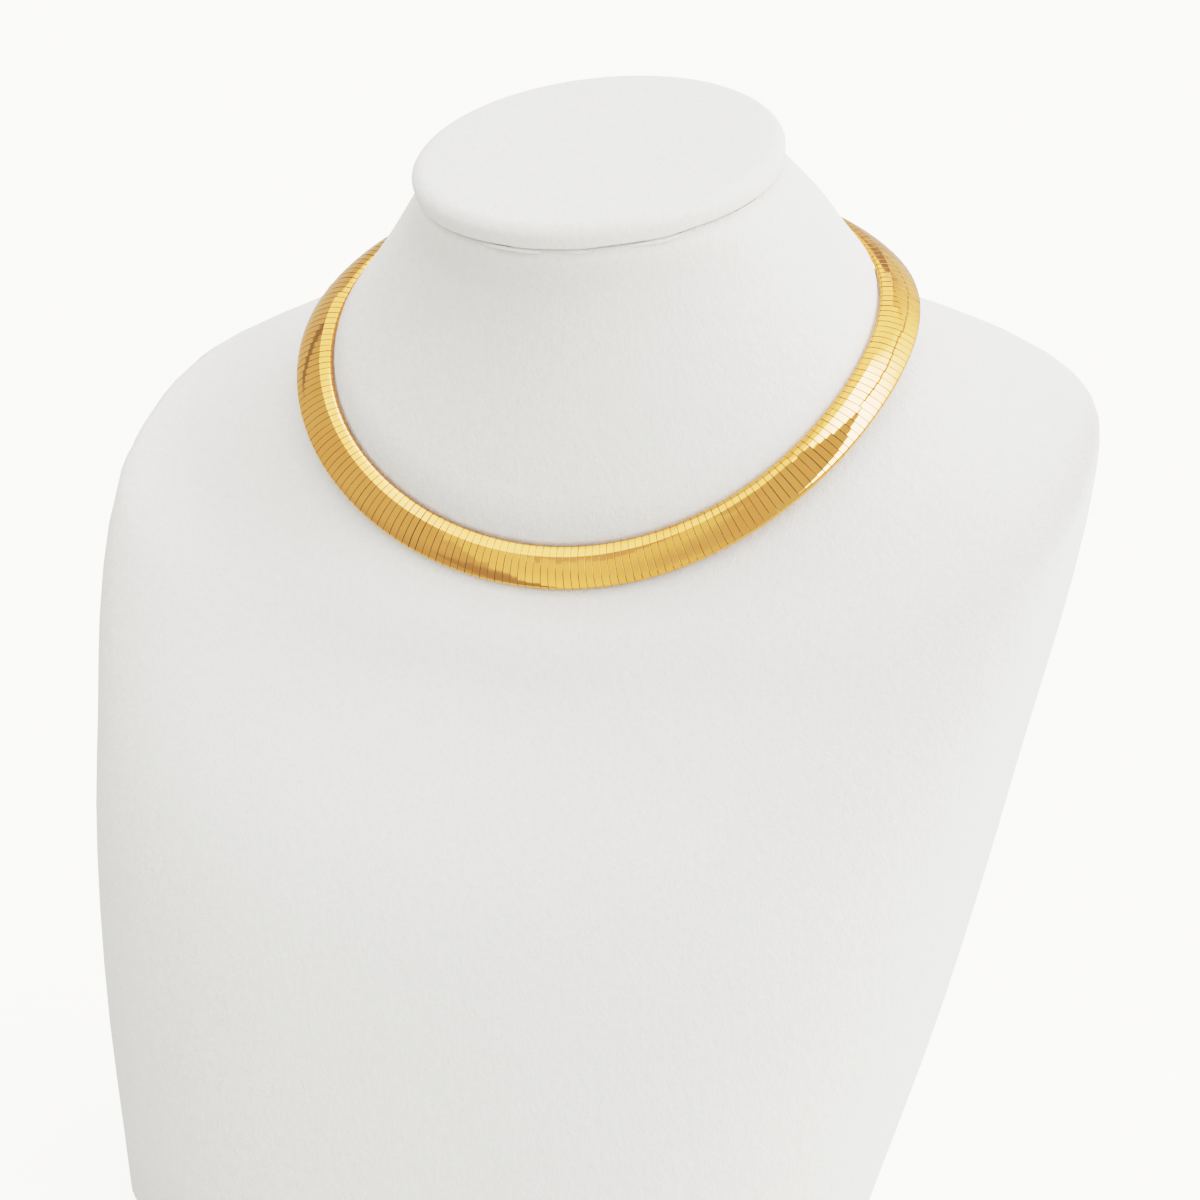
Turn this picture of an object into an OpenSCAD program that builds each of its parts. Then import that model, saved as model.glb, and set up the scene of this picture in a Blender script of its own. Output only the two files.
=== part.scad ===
// Omega necklace resting on a plain white display bust.
// Millimetres. The origin is in the middle of the bust's flat underside, the chest faces -Y and Z is up.

/* [Loop of the necklace] */
// full width of the loop, along the middle of the band
loop_w = 137.4; // [120:0.2:150]
// depth of the loop front to back, measured in its own tilted plane
loop_d = 112.4; // [100:0.2:125]
// how far the loop tips down to the front, degrees
loop_tilt = 38.6; // [30:0.2:44]
// how far both sides of the loop lie above its middle plane
side_rise = 5.6; // [2:0.1:8]
// how far the front dips below the middle plane and the back lifts
end_dip = 1.3; // [0:0.1:3]
// how much fuller the loop's four corners are than an ellipse's
corner_full = 0.03; // [0:0.005:0.06]
// how much narrower the front half of the loop is than the back half
front_narrow = 0.063; // [0:0.001:0.1]
// slope of the band across its width at the front, from the loop's plane, degrees
slope_front = 36; // [25:1:45]
// slope of the band across its width at the sides, degrees
slope_side = 21; // [12:1:32]
// slope of the band across its width at the back, degrees
slope_back = 78; // [65:1:85]

/* [Band] */
// width of the band over its crimped edges
band_w = 9.7; // [8:0.1:11]
// thickness of the band at the crest of its dome
dome_h = 1.95; // [1.6:0.05:2.4]
// thickness of the band at its edges
edge_h = 0.8; // [0.7:0.05:1]
// how far the crest lies from the middle towards the inner edge
crest_off = 0.4; // [0:0.1:1]
// width of the bevel along the inner edge
bevel_w = 2.5; // [1.5:0.1:3.5]
// radius of the bevel's slight curve
bevel_r = 16; // [10:1:40]
// thickness of the gold sheet of each plate
sheet_t = 0.3; // [0.2:0.05:0.35]
// how far each crimped edge reaches in under the band
crimp_w = 2; // [1.6:0.1:2.6]
// spacing of the plates along the band, drawn to the nearest whole number of plates
plate_pitch = 1.78; // [1.65:0.01:2.4]
// open gap between neighbouring plates
plate_gap = 0.18; // [0.14:0.01:0.3]
// width of the woven ribbon inside the plates
ribbon_w = 7; // [6:0.1:7.2]
// thickness of the woven ribbon
ribbon_t = 0.5; // [0.3:0.05:0.55]
// clearance between the ribbon and the plates
ribbon_gap = 0.1; // [0.05:0.01:0.15]

/* [Clasp] */
// length of the box clasp along the band
clasp_len = 12; // [8:0.5:18]
// how much the clasp is narrower than the band
clasp_inset = 0.4; // [0:0.1:1]

/* [Bust] */
// height of the middle of the loop above the underside
seat_h = 182; // [170:1:200]
// full width over the shoulders
shoulder_w = 232.4; // [222:0.2:245]
// depth of the chest front to back, at mid height
chest_d = 119; // [110:1:128]
// how far the underside stands forward of the middle of the loop
lean = 66.9; // [60:0.1:74]
// how far the shoulders tip down to the front, degrees
shoulder_tilt = 28.1; // [24:0.1:32]
// how far the shoulders rise at the sides
shoulder_rise = 5.8; // [3:0.1:8]
// how far the back of the shoulders drops
back_drop = 6; // [2:0.5:10]
// height of the rounded bottom edge
base_edge = 3; // [1:0.5:6]
// how far the surface drops away below the band's outer edge at the back
fall_back = 7; // [5:0.5:9]
// how far it drops away below the band's outer edge at the sides
fall_side = 2; // [1:0.5:3]
// clearance between the band and the bust
seat_gap = 0.4; // [0.2:0.05:0.8]
// how far the seat under the band reaches past the band's outer edge
seat_out = 1; // [0.5:0.1:2]
// how far it reaches past the band's inner edge
seat_in = 0.5; // [0.4:0.1:1]
// how high the bust stands beside the inner edge, above the band's back
lip_h = 1; // [0.4:0.1:1.2]
// width of the step up to that height
lip_w = 0.6; // [0.3:0.1:1.5]

/* [Neck] */
// full width of the neck at its waist
neck_w = 103.4; // [98:0.2:108]
// reach of the neck's waist to the front of its middle
neck_front = 43; // [40:0.5:46]
// reach of the neck's waist to the back of its middle
neck_back = 36; // [33:0.5:38]
// height of the neck's waist above the middle of the loop
neck_up = 31.4; // [28:0.2:34]
// how far the neck's waist lies behind the middle of the loop
neck_shift = 7.4; // [5:0.2:9]
// how far the neck's waist tips down to the front, degrees
neck_tilt = 19.4; // [14:0.2:24]

/* [Cap] */
// radius of the padded cap
cap_r = 42.6; // [41:0.1:46]
// thickness of the cap
cap_t = 6.5; // [5:0.1:9]
// rounding of the cap's upper edge
cap_round = 2.6; // [1:0.1:3]
// rounding of the cap's lower edge
cap_low = 1.2; // [0.5:0.1:1.5]
// how far the cap tips down to the front, degrees
cap_tilt = 15.5; // [12:0.5:19]
// height of the cap's underside above the middle of the loop
cap_up = 42.5; // [41:0.1:48]
// how far the cap's middle lies in front of the middle of the loop
cap_fwd = 1.9; // [0:0.1:4]
// how far the neck's top stands inside the cap's rim
cap_inset = 1.4; // [0.5:0.1:3]
// seam between the neck and the cap
cap_gap = 0.2; // [0.1:0.05:0.5]

/* [Hidden] */

gold = [0.85, 0.66, 0.28];
dark_gold = [0.62, 0.46, 0.18];
white = [0.9, 0.9, 0.88];

function unit(v) = v / norm(v);
function sgn(v) = v < 0 ? -1 : 1;
function power(v, n) = sgn(v) * pow(abs(v), 2 / n);

// the middle line of the band; angle 0 is the side at +X, 90 the back and 270 the front
function loop_fill(a) = 1 + corner_full * pow(sin(2 * a), 2);
function loop_x(a) = loop_w / 2 * cos(a) * (1 + front_narrow * sin(a)) * loop_fill(a);
function loop_y(a) = loop_d / 2 * sin(a) * loop_fill(a);
function loop_z(a) = side_rise * cos(2 * a) - end_dip * sin(3 * a);
function tip(y, z, tilt) = [y * cos(tilt) - z * sin(tilt), y * sin(tilt) + z * cos(tilt)];
function loop_pt(a) =
    let (t = tip(loop_y(a), loop_z(a), loop_tilt))
    [loop_x(a), lean + t[0], seat_h + t[1]];
half_step = 0.5;
function loop_tan(a) = unit(loop_pt(a + half_step) - loop_pt(a - half_step));

// slope across the band, easing from front to side to back
slope_mid = (slope_front + slope_back) / 4 + slope_side / 2;
slope_lean = (slope_front - slope_back) / 2;
function slope(a) = slope_mid - slope_lean * sin(a) + (slope_side - slope_mid) * cos(2 * a);
plane_axis = [0, -sin(loop_tilt), cos(loop_tilt)];
function outward(a) = unit(cross(loop_tan(a), plane_axis));
function upward(a) = cross(outward(a), loop_tan(a));
function across(a) = cos(slope(a)) * outward(a) - sin(slope(a)) * upward(a);
function normal(a) = sin(slope(a)) * outward(a) + cos(slope(a)) * upward(a);

// length along the loop against angle, from the clasp's middle round to itself
loop_steps = 360;
loop_from = 90;
function step_angle(i) = loop_from + 360 * i / loop_steps;
function step_len(i) = norm(loop_pt(step_angle(i + 1)) - loop_pt(step_angle(i)));
lengths = [for (i = 0, s = 0; i <= loop_steps; s = s + step_len(i), i = i + 1) [s, step_angle(i)]];
loop_len = lengths[loop_steps][0];
function angle_at(s) = lookup(s, lengths);

row_start = clasp_len / 2 + plate_gap;
row_len = loop_len - 2 * row_start + plate_gap;
plate_count = round(row_len / plate_pitch);
pitch = row_len / plate_count;
dome_rise = dome_h - edge_h;
face_w = band_w / 2 + crest_off;
face_r = (face_w * face_w + dome_rise * dome_rise) / (2 * dome_rise);
face_mid = [-crest_off, dome_h - face_r];

// the bevel is an arc from the inner edge to a point on the face
bevel_x = bevel_w - band_w / 2;
bevel_from = [-band_w / 2, edge_h];
bevel_to = [bevel_x, face_mid[1] + sqrt(face_r * face_r - pow(bevel_x + crest_off, 2))];
bevel_way = bevel_to - bevel_from;
bevel_deep = sqrt(bevel_r * bevel_r - pow(norm(bevel_way) / 2, 2));
bevel_mid = (bevel_from + bevel_to) / 2 + bevel_deep * [bevel_way[1], -bevel_way[0]] / norm(bevel_way);
ribbon_low = sheet_t + ribbon_gap;
arc_fn = 90;

// outline of the band's section: x across the band, y up from its back
module dome(side, drop, low) {
    intersection() {
        translate(face_mid)
            circle(r = face_r - drop, $fn = 4 * arc_fn);
        translate(bevel_mid)
            circle(r = bevel_r - drop, $fn = 4 * arc_fn);
        translate([-side / 2, low])
            square([side, dome_h]);
    }
}

module plate_section() {
    difference() {
        dome(band_w, 0, 0);
        dome(band_w - 2 * sheet_t, sheet_t, sheet_t);
        translate([crimp_w - band_w / 2, -sheet_t])
            square([band_w - 2 * crimp_w, 3 * sheet_t]);
    }
}

// a short length of band on the loop at angle a, its ends cut square to the loop's own curve
edge_step = 1;
function edge_pt(a, x) = loop_pt(a) + x * across(a);
function edge_run(a, x) = norm(edge_pt(a + edge_step, x) - edge_pt(a - edge_step, x));
function spread(a, x) = edge_run(a, x) / edge_run(a, 0);
module on_loop(a) {
    x = across(a);
    y = loop_tan(a);
    z = normal(a);
    p = loop_pt(a);
    multmatrix([
        [x[0], y[0], z[0], p[0]],
        [x[1], y[1], z[1], p[1]],
        [x[2], y[2], z[2], p[2]],
        [0, 0, 0, 1]
    ])
        children();
}

module length_of_band(a, len, gap) {
    inner = (len * spread(a, -band_w) - gap) / 2;
    outer = (len * spread(a, band_w) - gap) / 2;
    on_loop(a)
        intersection() {
            rotate([90, 0, 0])
                translate([0, 0, -len])
                    linear_extrude(2 * len)
                        children();
            translate([0, 0, -dome_h])
                linear_extrude(3 * dome_h)
                    polygon([[-band_w, inner], [band_w, outer], [band_w, -outer], [-band_w, -inner]]);
        }
}

module plates() {
    color(gold)
        for (i = [0 : plate_count - 1])
            length_of_band(angle_at(row_start + pitch * (i + 0.5) - plate_gap / 2), pitch, plate_gap)
                plate_section();
}

module box_clasp() {
    color(gold)
        length_of_band(loop_from, clasp_len, 0)
            dome(band_w - clasp_inset, 0, 0);
}

// skin between rows of points, each row a closed ring
function ring_faces(rows, n) = [
    for (r = [0 : rows - 2], j = [0 : n - 1], h = [0, 1])
        let (k = (j + 1) % n, a = r * n + j, b = r * n + k)
        h == 0 ? [a, a + n, b + n] : [a, b + n, b]
];
function flatten(rows) = [for (r = rows, p = r) p];
function low_face(n) = [for (j = [0 : n - 1]) j];
function high_face(rows, n) = [for (j = [n - 1 : -1 : 0]) (rows - 1) * n + j];

ribbon_steps = 150;
ribbon_corners = [
    [-ribbon_w / 2, ribbon_low],
    [ribbon_w / 2, ribbon_low],
    [ribbon_w / 2, ribbon_low + ribbon_t],
    [-ribbon_w / 2, ribbon_low + ribbon_t]
];
function ribbon_row(a) = [for (c = ribbon_corners) loop_pt(a) + c[0] * across(a) + c[1] * normal(a)];

module core_band() {
    first = row_start + ribbon_gap;
    last = loop_len - first;
    rows = [for (i = [0 : ribbon_steps]) ribbon_row(angle_at(first + (last - first) * i / ribbon_steps))];
    faces = concat(ring_faces(ribbon_steps + 1, 4), [low_face(4)], [high_face(ribbon_steps + 1, 4)]);
    color(dark_gold)
        polyhedron(points = flatten(rows), faces = faces);
}

// rings of the bust, as shares of seat_h, lean, half of shoulder_w, half of chest_d, tilt, rise and drop
UP = 0;
FWD = 1;
HALF = 2;
FRONT = 3;
BACK = 4;
TILT = 5;
RISE = 6;
DROP = 7;
SQUARE_FRONT = 8;
SQUARE_BACK = 9;
body_rings = [
    // up, forward, half width, front, back, tilt, rise, drop, squareness of the front and of the back
    [0, 0.97, 0.719, 1.008, 0.941, 0, 0, 0, 2.4, 2.6],
    [0.275, 0.78, 0.833, 1.008, 0.958, 0.071, 0, 0, 2.4, 2.8],
    [0.527, 0.525, 0.921, 1.008, 0.992, 0.356, 0.345, 0, 2.4, 2.8],
    [0.826, 0.096, 1, 1.042, 1.064, 1, 1, 1, 2.3, 3],
    [0.898, -0.16, 0.909, 1.176, 0.941, 0.936, 0.638, 0, 2.1, 3]
];
round_in = 0.98;

bust_n = 88;
function ring_pt(a, half, front, back, tilt, rise, drop, square, y, z) =
    let (
        s = power(sin(a), square),
        lift = rise * cos(2 * a) - drop * pow(max(0, sin(a)), 2),
        t = tip((s < 0 ? front : back) * s, lift, tilt)
    )
    [half * power(cos(a), square), y + t[0], z + t[1]];
function body_pt(q, a, scale, z) =
    ring_pt(a, q[HALF] * shoulder_w / 2 * scale, q[FRONT] * chest_d / 2 * scale, q[BACK] * chest_d / 2 * scale,
        q[TILT] * shoulder_tilt, q[RISE] * shoulder_rise, q[DROP] * back_drop,
        sin(a) < 0 ? q[SQUARE_FRONT] : q[SQUARE_BACK], lean * (1 - q[FWD]), z);
function fall(a) = fall_back * (1 + sin(a)) / 2 + fall_side * pow(cos(a), 2);
function seat_pt(a, off, down) = loop_pt(a) + off * across(a) - down * normal(a);
neck_square = 1.9;
function neck_pt(a) =
    ring_pt(a, neck_w / 2, neck_front, neck_back, neck_tilt, 0, 0, neck_square, lean + neck_shift, seat_h + neck_up);
cap_mid = [0, lean - cap_fwd, seat_h + cap_up];
cap_axis = [0, -sin(cap_tilt), cos(cap_tilt)];
neck_top_r = cap_r - cap_inset;
function neck_top_pt(a) =
    ring_pt(a, neck_top_r, neck_top_r, neck_top_r, cap_tilt, 0, 0, 2, cap_mid[1], cap_mid[2]) - cap_gap * cap_axis;

// the rings in order from the underside up, and the pieces of skin between them
SEAT = 6;
function knot(k, a) =
    k == 0 ? body_pt(body_rings[0], a, round_in, 0) :
    k == 1 ? body_pt(body_rings[0], a, 1, base_edge) :
    k < SEAT ? body_pt(body_rings[k - 1], a, 1, body_rings[k - 1][UP] * seat_h) :
    k == SEAT ? seat_pt(a, band_w / 2 + seat_out, seat_gap + fall(a)) :
    k == SEAT + 1 ? seat_pt(a, -band_w / 2 - seat_in, seat_gap) :
    k == SEAT + 2 ? seat_pt(a, -band_w / 2 - seat_in - lip_w, -lip_h) :
    k == SEAT + 3 ? neck_pt(a) : neck_top_pt(a);
last_knot = SEAT + 4;
skin_steps = [1, 4, 4, 6, 5, 5, 1, 1, 5, 4];
function knot_dir(k, a) =
    k <= 1 ? unit(knot(2, a) - knot(1, a)) :
    k == last_knot ? unit(knot(k, a) - knot(k - 1, a)) : unit(knot(k + 1, a) - knot(k - 1, a));
function ease(p, q, m, n, t) =
    (2 * t * t * t - 3 * t * t + 1) * p + (t * t * t - 2 * t * t + t) * m
    + (3 * t * t - 2 * t * t * t) * q + (t * t * t - t * t) * n;
function skin_pt(k, a, t) =
    let (p = knot(k, a), q = knot(k + 1, a), d = norm(q - p))
    ease(p, q, d * knot_dir(k, a), d * knot_dir(k + 1, a), t);

module neck_bust() {
    rows = concat(
        [for (k = [0 : last_knot - 1], i = [0 : skin_steps[k] - 1])
            [for (j = [0 : bust_n - 1]) skin_pt(k, 360 * j / bust_n, i / skin_steps[k])]],
        [[for (j = [0 : bust_n - 1]) knot(last_knot, 360 * j / bust_n)]]
    );
    faces = concat(ring_faces(len(rows), bust_n), [low_face(bust_n)], [high_face(len(rows), bust_n)]);
    color(white)
        polyhedron(points = flatten(rows), faces = faces);
}

module bust_cap() {
    color(white)
        translate(cap_mid)
            rotate([cap_tilt, 0, 0])
                rotate_extrude($fn = 4 * arc_fn) {
                    square([cap_r - cap_round, cap_t]);
                    translate([0, cap_low])
                        square([cap_r, cap_t - cap_round - cap_low]);
                    translate([0, 0])
                        square([cap_r - cap_low, cap_low]);
                    translate([cap_r - cap_round, cap_t - cap_round])
                        circle(r = cap_round, $fn = arc_fn);
                    translate([cap_r - cap_low, cap_low])
                        circle(r = cap_low, $fn = arc_fn);
                }
}

plates();
core_band();
box_clasp();
neck_bust();
bust_cap();
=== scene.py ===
# Omega necklace on a white display bust. Metres; the chest faces -Y and Z is up.
import math
import random

import bmesh
import bpy
from mathutils import Matrix, Vector


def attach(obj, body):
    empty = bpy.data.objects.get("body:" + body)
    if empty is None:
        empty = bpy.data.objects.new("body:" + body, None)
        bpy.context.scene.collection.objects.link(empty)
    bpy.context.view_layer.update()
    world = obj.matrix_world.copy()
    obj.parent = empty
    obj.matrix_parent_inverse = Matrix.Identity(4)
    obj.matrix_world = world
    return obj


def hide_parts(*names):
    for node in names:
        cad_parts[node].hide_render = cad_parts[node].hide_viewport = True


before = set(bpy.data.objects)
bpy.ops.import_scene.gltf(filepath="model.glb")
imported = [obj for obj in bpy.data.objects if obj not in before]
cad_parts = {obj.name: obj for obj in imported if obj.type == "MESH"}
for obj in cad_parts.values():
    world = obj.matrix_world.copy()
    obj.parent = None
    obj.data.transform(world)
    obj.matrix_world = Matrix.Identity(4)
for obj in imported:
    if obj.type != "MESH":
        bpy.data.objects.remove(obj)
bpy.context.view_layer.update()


# Camera
# The product picture is taken from a metre away with a long lens, a little above the shoulders and
# to the right of the chest, with the front of the necklace in the upper half of the picture.
loop_centre = Vector((0, 0.0669, 0.182))
seen_from = loop_centre + Vector((0.3677, -0.9101, 0.1908))
aimed_at = Vector((0.0034, 0.0567, 0.1273))
camera_data = bpy.data.cameras.new("camera")
camera_data.lens = 130.8
camera_data.sensor_width = 36
camera_data.clip_start = 0.05
camera = bpy.data.objects.new("camera", camera_data)
bpy.context.scene.collection.objects.link(camera)
camera.location = seen_from
camera.rotation_euler = (aimed_at - seen_from).to_track_quat("-Z", "Y").to_euler()
bpy.context.scene.camera = camera


# Studio
# A white tent lit through its cloth. What reaches the bust is soft and a little stronger from the
# right and from behind; in the gold the lamps' soft boxes show as they stand round the tent. Places
# in the tent are in degrees: turn is 0 before the chest and grows to the right, height goes up.
class Line:
    """A line from one socket; arithmetic on it adds Math nodes."""

    def __init__(self, paint, socket):
        self.paint, self.socket = paint, socket

    def sum(self, operation, *values):
        return self.paint.node("Math", {"operation": operation}, values)

    def __add__(self, other):
        return self.sum("ADD", self, other)

    def __sub__(self, other):
        return self.sum("SUBTRACT", self, other)

    def __rsub__(self, other):
        return self.sum("SUBTRACT", other, self)

    def __mul__(self, other):
        return self.sum("MULTIPLY", self, other)

    def over(self, low, high):
        """0 below low, 1 above high, easing between them."""
        settings = {"interpolation_type": "SMOOTHSTEP"}
        return self.paint.node("MapRange", settings, {"Value": self, "From Min": low, "From Max": high})

    def between(self, low, high, ease):
        """1 from low to high and 0 outside, easing over the given width."""
        return self.over(low - ease / 2, low + ease / 2) * (1 - self.over(high - ease / 2, high + ease / 2))

    __radd__ = __add__
    __rmul__ = __mul__


class Paint:
    """The nodes of a finish or of the room, with the shader's fixed values given by name."""

    def __init__(self, holder, shader, **fixed):
        holder.use_nodes = True
        self.holder, self.tree = holder, holder.node_tree
        self.shader = self.tree.nodes[shader]
        for key, value in fixed.items():
            self.feed(self.shader.inputs[key.replace("_", " ")], value)

    def feed(self, socket, value):
        if isinstance(value, Line):
            self.tree.links.new(value.socket, socket)
        else:
            socket.default_value = value

    def node(self, kind, settings, inputs, output=0):
        node = self.tree.nodes.new("ShaderNode" + kind)
        for key, value in settings.items():
            setattr(node, key, value)
        pairs = inputs.items() if isinstance(inputs, dict) else enumerate(inputs)
        for key, value in pairs:
            self.feed(node.inputs[key], value)
        return Line(self, node.outputs[output])

    def blend(self, factor, low, high):
        """A colour from low to high."""
        inputs = {"Factor": factor, "A": (*low, 1), "B": (*high, 1)}
        return self.node("Mix", {"data_type": "RGBA"}, inputs, 2)


room = Paint(bpy.data.worlds.new("room"), "Background")
bpy.context.scene.world = room.holder
towards = room.node("TexCoord", {}, {}, "Generated")
x, y, z = [room.node("SeparateXYZ", {}, [towards], axis) for axis in "XYZ"]
spread = 1.74 + 0.68 * x + 0.66 * y + 0.42 * z

degrees = 180 / math.pi
turn = x.sum("ARCTAN2", x, y * -1) * degrees
height = x.sum("ARCSINE", z) * degrees
away = x.sum("ABSOLUTE", turn)
left_low = (1 - height.over(-18, 8)) * (1 - turn.over(-25, -24))
left_corner = turn.between(-34, -25, 1.5) * (1 - height.over(-10, -4))
walls = 0.87 - 0.16 * left_low - 0.2 * left_corner
front_glow = 0.42 * (1 - turn.over(-24, -4))
front_low = 0.3 * (1 - height.over(-25, 5)) * (1 - turn.over(5, 25))
front_wall = turn.over(-25, -24) * (1 - height.over(36, 39)) * (front_glow + front_low)
low_edge = 57 - 6 * turn.over(-95, -80) - 10 * turn.over(-70, -35) + 18 * turn.over(-26, -8)
ceiling_lamp = 3.4 * turn.over(-35, 25) * (1 - turn.over(60, 140))
ceiling = (height - low_edge).over(-0.8, 1) * (1.15 + 0.35 * turn.between(-60, 0, 30) + ceiling_lamp)
side_box = 4.9 - 3.2 * turn.over(60, 122) - 1.1 * turn.over(120, 155) - 0.4 * turn.over(150, 175)
side_box = side_box * (turn - 0.25 * height).over(37.5, 39) * height.over(4, 10) * (1 - height.over(66, 72))
seam = height - (63 - 33 * turn.over(112, 180))
seam = seam.between(-1.4, 1.4, 0.8) * turn.over(48, 54)
boxes = x.sum("MAXIMUM", ceiling, side_box) * (1 - 0.95 * seam)
behind = 0.35 * away.over(164, 170) * height.between(43, 62, 6)
patch = 0.5 * (turn + 94 + 0.5 * (height - 22)).between(-4, 4, 4) * height.between(20, 48, 6)
mirrored = walls + front_wall + boxes - behind - patch
in_gloss = room.node("LightPath", {}, {}, "Is Glossy Ray")
lamp_white = room.blend(boxes.over(0.3, 4.2) * in_gloss, (1, 0.995, 0.985), (1, 0.93, 2))
room.feed(room.shader.inputs["Color"], lamp_white)
room.feed(room.shader.inputs["Strength"], spread + (mirrored - spread) * in_gloss)

# The film keeps the shades of the white bust apart from the nearly white ground.
view = bpy.context.scene.view_settings
view.view_transform = "Standard"
view.use_curve_mapping = True
film = view.curve_mapping
film.clip_max_x = film.clip_max_y = 10
film.use_clip = True
roll = film.curves[3]
roll.points[1].location = (10, 1)
for at, shown in ((0.5, 0.48), (0.8, 0.64), (1.1, 0.745), (1.5, 0.83), (2.2, 0.9), (4, 0.96)):
    roll.points.new(at, shown)
for point in roll.points:
    point.handle_type = "VECTOR"
film.update()


# White table
# A smooth white table top, lit from below like the tent's walls, runs on behind the bust. It isn't
# seen in the gold, which mirrors the tent.
def finished(name, bm, paint):
    """A piece of the scene made from a bmesh, in its finish."""
    mesh = bpy.data.meshes.new(name)
    bm.to_mesh(mesh)
    bm.free()
    piece = bpy.data.objects.new(name, mesh)
    bpy.context.scene.collection.objects.link(piece)
    mesh.materials.append(paint.holder)
    return piece


bm = bmesh.new()
bmesh.ops.create_grid(bm, x_segments=1, y_segments=1, size=8)
table_paint = Paint(
    bpy.data.materials.new("table_paint"), "Principled BSDF", Base_Color=(0.9, 0.89, 0.87, 1), Roughness=0.8,
    Emission_Color=(1, 0.965, 0.74, 1), Emission_Strength=2.1)
table = finished("table_top", bm, table_paint)
table.visible_glossy = False
table.visible_diffuse = False


# Neck and chest
# A moulded bust without arms, tightly covered in white leatherette, which is wrapped under the flat
# base. It stands on the table by itself, and its chest slopes back up to the neck.
def merged(node):
    """A copy of a solid's mesh with its loose triangles joined."""
    bm = bmesh.new()
    bm.from_mesh(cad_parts[node].data)
    bmesh.ops.remove_doubles(bm, verts=bm.verts, dist=1e-6)
    return bm


leatherette = Paint(bpy.data.materials.new("white_leatherette"), "Principled BSDF", Roughness=0.6,
                    Specular_IOR_Level=0.3)
on_piece = leatherette.node("TexCoord", {}, {}, "Object")
drawn = leatherette.node("VectorMath", {"operation": "MULTIPLY"}, [on_piece, (1, 1, 0.6)])
pores = leatherette.node("TexNoise", {}, {"Vector": drawn, "Scale": 640, "Detail": 4, "Roughness": 0.8})
clouds = leatherette.node("TexNoise", {}, {"Vector": on_piece, "Scale": 45, "Detail": 2})
bump = leatherette.node("Bump", {}, {"Height": pores, "Distance": 0.0004})
leatherette.feed(leatherette.shader.inputs["Normal"], bump)
tone = leatherette.blend(pores * 0.8 + clouds * 0.2, (0.745, 0.737, 0.693), (0.955, 0.943, 0.887))
leatherette.feed(leatherette.shader.inputs["Base Color"], tone)

bm = merged("neck_bust")
bmesh.ops.join_triangles(
    bm, faces=bm.faces, cmp_seam=False, cmp_sharp=False, cmp_uvs=False, cmp_vcols=False,
    cmp_materials=False, angle_face_threshold=math.radians(40), angle_shape_threshold=math.radians(60))
bust = finished("leatherette_bust", bm, leatherette)
bust.data.shade_smooth()
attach(bust, "root")
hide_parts("neck_bust")


# Cap
# A stiff disc under a thin pad, covered in the same leatherette, with a soft rounded rim. It is set
# on the cut of the neck, and the lower edge of its cover runs a little unevenly round the seam.
# The disc and its two rims, its place on the neck, then the pad's rise and lean, the height and depth
# to which the cover is tucked in below, and how far its edge strays.
cap_r, cap_t, cap_soft, cap_under = 0.0426, 0.0065, 0.0034, 0.0008
cap_seat, cap_tilt = Vector((0, 0.065, 0.2245)), math.radians(15.5)
pad_rise, pad_lean, tuck_h, tuck_in, trim_wave = 0.0001, 0.0009, 0.004, 0.02, 0.0004
random.seed(11)
cap_trim, raw_trim = [[random.random() for stop in range(41)] for edge in range(2)]


def uneven(at, trim, most):
    """How far a hand-trimmed edge strays at a place round it: straight cuts between a few stops."""
    stop = (math.atan2(at.y, at.x) / math.tau + 0.5) * len(trim)
    cut = int(stop) % len(trim)
    return most * (trim[cut] + (trim[(cut + 1) % len(trim)] - trim[cut]) * (stop - int(stop)))


bm = bmesh.new()
bmesh.ops.create_cone(bm, cap_ends=True, segments=144, radius1=cap_r, radius2=cap_r, depth=cap_t)
for level, width, steps in ((1, cap_soft, 7), (-1, cap_under, 3)):
    rim = [e for e in bm.edges if all(v.co.z * level > cap_t * 0.49 for v in e.verts)]
    bmesh.ops.bevel(bm, geom=rim, offset=width, segments=steps, profile=0.5, affect="EDGES", material=-1)
top = [f for f in bm.faces if len(f.verts) > 4 and f.normal.z > 0.9]
for width, rise in ((0.004, 0.0001), (0.012, 0.0001), (0.012, 0.00005)):
    bmesh.ops.inset_region(bm, faces=top, thickness=width, depth=rise)
bmesh.ops.translate(bm, verts=bm.verts, vec=(0, 0, cap_t / 2))
for v in bm.verts:
    v.co.z += v.co.z / cap_t * (pad_rise + pad_lean * v.co.y / cap_r)
    low = max(0, 1 - v.co.z / tuck_h)
    v.co.xy *= 1 - tuck_in * low
    v.co.z += low ** 3 * uneven(v.co, cap_trim, trim_wave)
cap_place = Matrix.Translation(cap_seat) @ Matrix.Rotation(cap_tilt, 4, "X")
bmesh.ops.transform(bm, verts=bm.verts, matrix=cap_place)
cap = finished("padded_cap", bm, leatherette)
cap.data.shade_smooth()
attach(cap, "root")
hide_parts("bust_cap")


# Trimmed edge under the cap
# The bust's cover is pulled over the cut of the neck and trimmed by hand, so a thin raw edge of
# leatherette stands out a little under the cap, further in some places than in others.
cut_r, raw_t, raw_short, raw_gap = 0.0402, 0.0002, 0.02, 0.0004
bm = bmesh.new()
bmesh.ops.create_circle(bm, segments=180, radius=cut_r)
hem = bm.edges[:]
for reach, drop in ((0.0011, 0), (0.0002, -0.0002), (0, -0.0006)):
    turned = bmesh.ops.extrude_edge_only(bm, edges=hem)["geom"]
    hem = [g for g in turned if isinstance(g, bmesh.types.BMEdge)]
    for v in turned:
        if isinstance(v, bmesh.types.BMVert):
            v.co += v.co.normalized() * reach + Vector((0, 0, drop))
for v in bm.verts:
    v.co.xy *= 1 - uneven(v.co, raw_trim, raw_short)
    v.co.z += uneven(v.co, cap_trim, trim_wave)
bmesh.ops.recalc_face_normals(bm, faces=bm.faces)
bmesh.ops.solidify(bm, geom=bm.faces[:], thickness=raw_t)
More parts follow.
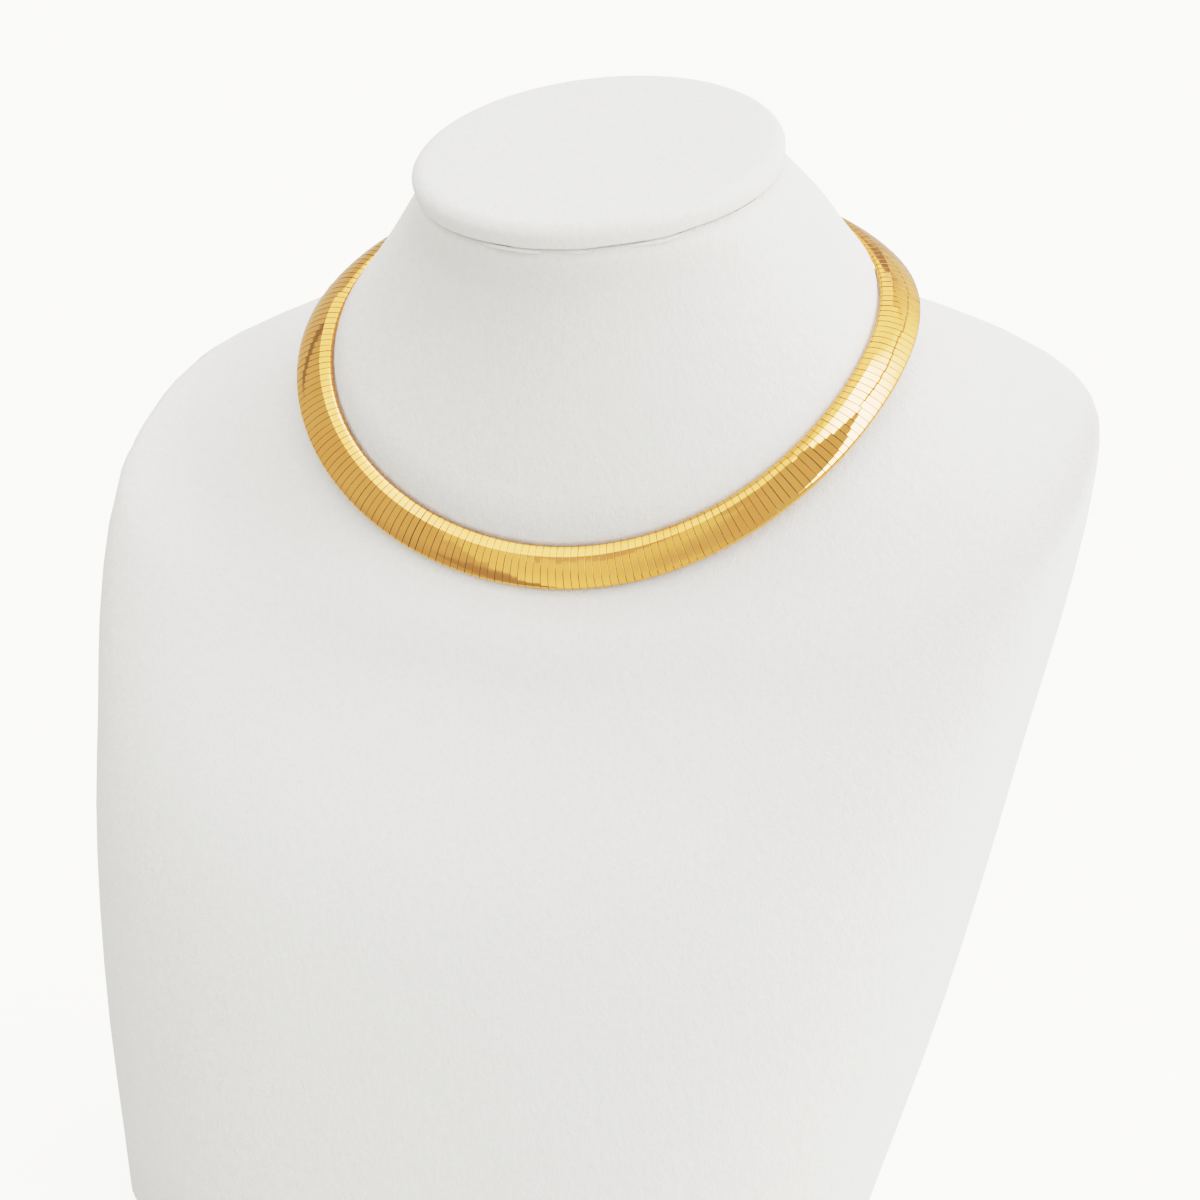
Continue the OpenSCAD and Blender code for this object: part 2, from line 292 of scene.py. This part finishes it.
bmesh.ops.transform(bm, verts=bm.verts, matrix=cap_place @ Matrix.Translation((0, 0, -raw_gap)))
raw_edge = finished("trimmed_edge", bm, leatherette)
raw_edge.data.shade_smooth()
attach(raw_edge, "root")


# Woven ribbon
# A flat ribbon of fine gold wire, woven over and under, runs through all the plates and holds them in
# a row. It shows only between two plates, and its colour is painted far darker than gold as painted shade in
# those gaps.
woven_gold = Paint(bpy.data.materials.new("woven_gold"), "Principled BSDF", Roughness=0.45, Metallic=1.0)
on_piece = woven_gold.node("TexCoord", {}, {}, "Object")
wires = [woven_gold.node("TexWave", {"wave_type": "BANDS", "bands_direction": axis}, {
    "Vector": on_piece, "Scale": 520, "Distortion": 0.4}, "Fac") for axis in "XY"]
weave = wires[0] * wires[1] + (1 - wires[0]) * (1 - wires[1])
bump = woven_gold.node("Bump", {}, {"Height": weave, "Distance": 0.0001})
woven_gold.feed(woven_gold.shader.inputs["Normal"], bump)
# Painted shade: both tones are far darker than gold and stand in for the shade between the plates; the
# weave's over and under cells take the two tones.
tone = woven_gold.blend(weave, (0.24, 0.11, 0.025), (0.5, 0.26, 0.075))
woven_gold.feed(woven_gold.shader.inputs["Base Color"], tone)
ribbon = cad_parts["core_band"]
ribbon.data.materials.clear()
ribbon.data.materials.append(woven_gold.holder)


# Plates
# 220 narrow strips of thin yellow gold sheet, pressed to a low dome with a bevel along the inner edge,
# mirror-polished and crimped round both edges of the ribbon. Each sits a hair's breadth askew.
polished_gold = Paint(
    bpy.data.materials.new("polished_gold"), "Principled BSDF", Metallic=1.0, Coat_Weight=0.45)
on_piece = polished_gold.node("TexCoord", {}, {}, "Object")
ripples = polished_gold.node("TexNoise", {}, {"Vector": on_piece, "Scale": 420, "Detail": 2})
wear = polished_gold.node("TexNoise", {}, {"Vector": on_piece, "Scale": 90, "Detail": 4, "Roughness": 0.6})
scratches = polished_gold.node("TexNoise", {}, {"Vector": on_piece, "Scale": 5200, "Detail": 1})
bump = polished_gold.node("Bump", {}, {"Height": ripples + scratches * 0.03, "Distance": 0.000008})
polished_gold.feed(polished_gold.shader.inputs["Normal"], bump)
polished_gold.feed(polished_gold.shader.inputs["Roughness"], 0.02 + 0.06 * wear)
tone = polished_gold.blend(wear.over(0.35, 0.65), (0.92, 0.44, 0.095), (0.94, 0.47, 0.11))
polished_gold.feed(polished_gold.shader.inputs["Base Color"], tone)

# How the band lies: the size and tilt of the loop, what sets it apart from a plain ellipse, and the
# slope of the plates' faces before, beside and behind the neck.
loop_w, loop_d, loop_tilt = 0.1374, 0.1124, math.radians(38.6)
side_rise, end_dip, corner_full, front_narrow = 0.0056, 0.0013, 0.03, 0.063
slope_front, slope_side, slope_back = 36, 21, 78
short_turn = 0.0087


def on_loop(a):
    """Place and turn of the band at angle a: x across it, y along it and z out of its face."""
    def point(a):
        s, c = math.sin(a), math.cos(a)
        full = 1 + corner_full * math.sin(2 * a) ** 2
        flat = Vector((loop_w / 2 * c * (1 + front_narrow * s) * full, loop_d / 2 * s * full,
                       side_rise * math.cos(2 * a) - end_dip * math.sin(3 * a)))
        return loop_centre + Matrix.Rotation(loop_tilt, 3, "X") @ flat

    along = (point(a + short_turn) - point(a - short_turn)).normalized()
    out = along.cross(Matrix.Rotation(loop_tilt, 3, "X") @ Vector((0, 0, 1))).normalized()
    mean = (slope_front + slope_back) / 4 + slope_side / 2
    slope = math.radians(
        mean - (slope_front - slope_back) / 2 * math.sin(a) + (slope_side - mean) * math.cos(2 * a))
    across = math.cos(slope) * out - math.sin(slope) * out.cross(along)
    up = math.sin(slope) * out + math.cos(slope) * out.cross(along)
    return Matrix.Translation(point(a)) @ Matrix((across, along, up)).transposed().to_4x4()


# One plate: its width, the heights of dome and edge and the crest's shift inwards, then the bevel,
# the sheet and the crimp, the rounding of its shoulders and ends, and the row that the plates make.
band_w, dome_h, edge_h, crest_off = 0.0097, 0.00195, 0.0008, 0.0004
bevel_w, bevel_r, sheet_t, crimp_w = 0.0025, 0.016, 0.0003, 0.002
shoulder_w, end_w = 0.0004, 0.00002
clasp_len, plate_count, joint_gap, finest_gap = 0.012, 220, 0.00018, 0.00007
stops = [math.radians(90 + i) for i in range(361)]
gone = [0]
for a, b in zip(stops, stops[1:]):
    gone.append(gone[-1] + (on_loop(b).translation - on_loop(a).translation).length)
row_start = clasp_len / 2 + joint_gap
pitch = (gone[-1] - 2 * row_start + joint_gap) / plate_count


def angle_at(length):
    i = max(k for k in range(360) if gone[k] <= length)
    return math.radians(90 + i + (length - gone[i]) / (gone[i + 1] - gone[i]))


bm = bmesh.new()
half_w, rise = band_w / 2, dome_h - edge_h
plate_len = pitch - finest_gap
face_w = half_w + crest_off
face_r = (face_w ** 2 + rise ** 2) / (2 * rise)
crease_x = bevel_w - half_w
face_turn = math.asin(face_w / face_r) - math.asin((crease_x + crest_off) / face_r)
outer = bm.verts.new((half_w, -plate_len / 2, edge_h))
crease = bmesh.ops.spin(bm, geom=[outer], cent=(-crest_off, 0, dome_h - face_r), axis=(0, -1, 0),
                        angle=face_turn, steps=5)["geom_last"][0]
way = Vector((-half_w, crease.co.y, edge_h)) - crease.co
deep = math.sqrt(bevel_r ** 2 - way.length_squared / 4)
bevel_mid = crease.co + way / 2 + deep * Vector((-way.z, 0, way.x)) / way.length
inner = bmesh.ops.spin(bm, geom=[crease], cent=bevel_mid, axis=(0, -1, 0),
                       angle=2 * math.asin(way.length / 2 / bevel_r), steps=2)["geom_last"][0]
for corner, side in ((outer, 1), (inner, -1)):
    for move in ((0, 0, -edge_h), (-side * crimp_w, 0, 0)):
        corner = bmesh.ops.extrude_vert_indiv(bm, verts=[corner])["verts"][0]
        corner.co += Vector(move)
swept = bmesh.ops.extrude_edge_only(bm, edges=bm.edges[:])["geom"]
far_end = [g for g in swept if isinstance(g, bmesh.types.BMVert)]
bmesh.ops.translate(bm, verts=far_end, vec=(0, plate_len, 0))
bmesh.ops.recalc_face_normals(bm, faces=bm.faces)
shoulders = [e for e in bm.edges if all(abs(v.co.z - edge_h) < 1e-7 for v in e.verts)]
bmesh.ops.bevel(bm, geom=shoulders, offset=shoulder_w, segments=2, profile=0.5, affect="EDGES", material=-1)
outside = set(bm.verts)
bmesh.ops.solidify(bm, geom=bm.faces[:], thickness=sheet_t)
ends = [e for e in bm.edges if all(v in outside and v.co.z > sheet_t for v in e.verts)
        and abs(e.verts[0].co.y - e.verts[1].co.y) < 1e-7]
bmesh.ops.bevel(bm, geom=ends, offset=end_w, segments=1, profile=0.5, affect="EDGES", material=-1)
for e in bm.edges:
    creased = all(abs(v.co.x - crease_x) < 1e-6 for v in e.verts)
    e.smooth = not creased and e.calc_face_angle(0) < math.radians(40)
for f in bm.faces:
    f.smooth = True
plate = bpy.data.meshes.new("plate")
bm.to_mesh(plate)
bm.free()

# The gaps differ by a little, and are widest near one place to the left of the front. The plates rock
# along the row and roll across it by a few thousandths of a radian.
random.seed(4)
loose_most, wide_most, wide_at, wide_spread = 0.00004, 0.0001, 245, 5
rock, roll_over = 0.0025, 0.006
row = bmesh.new()
for i in range(plate_count):
    a = angle_at(row_start + pitch * (i + 0.5) - joint_gap / 2)
    edge_run, middle_run = [(on_loop(a + 0.02) @ p - on_loop(a - 0.02) @ p).length
                            for p in (Vector((half_w, 0, 0)), Vector((0, 0, 0)))]
    widen = (edge_run / middle_run - 1) / half_w
    loose = loose_most + wide_most * math.exp(-((math.degrees(a) - wide_at) / wide_spread) ** 2)
    shorter = 1 - loose * random.random() / plate_len
    before = len(row.verts)
    row.from_mesh(plate)
    row.verts.ensure_lookup_table()
    for v in row.verts[before:]:
        v.co.y *= shorter * (1 + widen * v.co.x)
    rocked = Matrix.Rotation(random.gauss(0, rock), 4, "X")
    askew = rocked @ Matrix.Rotation(random.gauss(0, roll_over), 4, "Y")
    bmesh.ops.transform(row, verts=row.verts[before:], matrix=on_loop(a) @ askew)
plates = finished("gold_plates", row, polished_gold)
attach(plates, "root")
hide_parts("plates")


# Box clasp
# A plain closed box of the same gold, rounded along its edges, at the back of the neck between the
# first and the last plate. The ribbon's two ends are fixed inside it.
bm = merged("box_clasp")
bmesh.ops.dissolve_limit(bm, angle_limit=math.radians(1), verts=bm.verts, edges=bm.edges)
folds = [e for e in bm.edges if e.calc_face_angle(0) > math.radians(50)]
bmesh.ops.bevel(bm, geom=folds, offset=0.00025, segments=3, profile=0.5, affect="EDGES", material=-1)
for e in bm.edges:
    e.smooth = e.calc_face_angle(0) < math.radians(40)
for f in bm.faces:
    f.smooth = True
clasp = finished("gold_clasp", bm, polished_gold)
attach(clasp, "root")
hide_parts("box_clasp")
